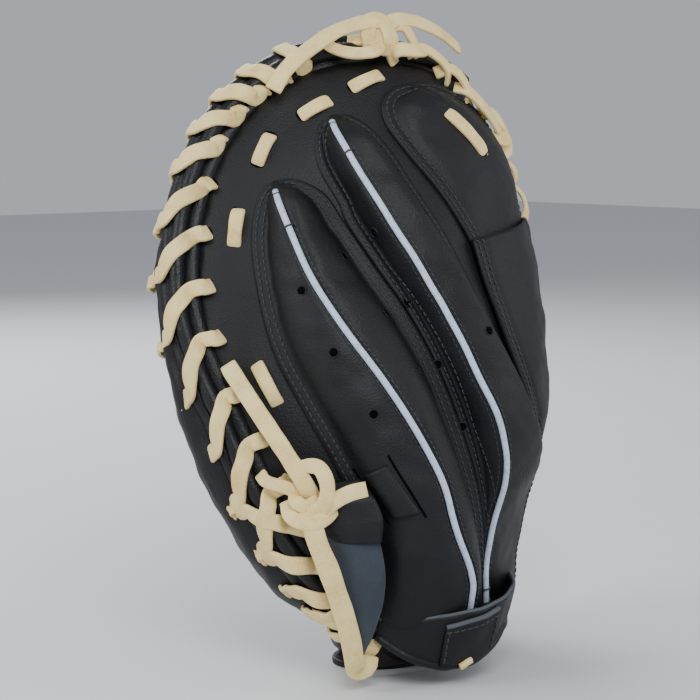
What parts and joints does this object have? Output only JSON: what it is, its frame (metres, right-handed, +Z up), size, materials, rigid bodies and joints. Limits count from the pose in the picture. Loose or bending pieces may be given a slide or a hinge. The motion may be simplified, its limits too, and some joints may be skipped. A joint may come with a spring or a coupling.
{
  "type": "baseball catcher's mitt",
  "caption": "Black leather catcher's mitt for the left hand, with finger stalls, pale piping, a laced rim, an adjuster lace and a deep round pocket",
  "frame": {"origin": "on the flat sole of the heel, at the foot of the mitt standing with its fingertips up", "axes": "+Z up towards the fingertips, the back of the hand faces -Y, the pocket opens towards +Y, the thumb is at +X"},
  "size_m": [0.2337, 0.1522, 0.3019],
  "materials": {
    "black_leather": "satin, fine grain",
    "rawhide": "matte cream lace",
    "piping": "satin pale blue grey",
    "suede": "matte suede",
    "lining": "matte soft leather",
    "felt": "matte felt"
  },
  "bodies": {
    "finger_side": {"adjuster_lace": "rawhide", "adjuster_tab": "suede", "back_band_fingers": "black_leather", "back_welt_fingers": "black_leather", "band_lace": "rawhide", "finger_hood": "black_leather", "heel_lace": "rawhide", "heel_patch": "black_leather", "index_stall": "black_leather", "middle_piping": "piping", "middle_stall_inner": "black_leather", "middle_stall_outer": "black_leather", "palm_leather_fingers": "black_leather", "palm_lining_fingers": "lining", "palm_pad_fingers": "felt", "palm_welt_fingers": "black_leather", "rim_lace_fingers": "rawhide", "ring_piping": "piping", "ring_stall_inner": "black_leather", "ring_stall_outer": "black_leather", "strap_keeper": "black_leather", "web_fingers": "black_leather", "wrist_band_fingers": "black_leather", "wrist_binding": "black_leather", "wrist_patch": "black_leather"},
    "thumb_side": {"back_band_thumb": "black_leather", "back_welt_thumb": "black_leather", "palm_leather_thumb": "black_leather", "palm_lining_thumb": "lining", "palm_pad_thumb": "felt", "palm_welt_thumb": "black_leather", "rim_lace_thumb": "rawhide", "thumb_piping": "piping", "thumb_stall_inner": "black_leather", "thumb_stall_outer": "black_leather", "web_thumb": "black_leather", "wrist_band_thumb": "black_leather"}
  },
  "joints": [
    {"name": "pocket_fold", "type": "hinge", "parent": "finger_side", "child": "thumb_side", "pos_m": [0.04, 0.005, 0], "axis": [0.1549, 0.1515, 0.9763], "range_deg": [-5, 20], "stiffness_Nm_per_rad": 3}
  ]
}
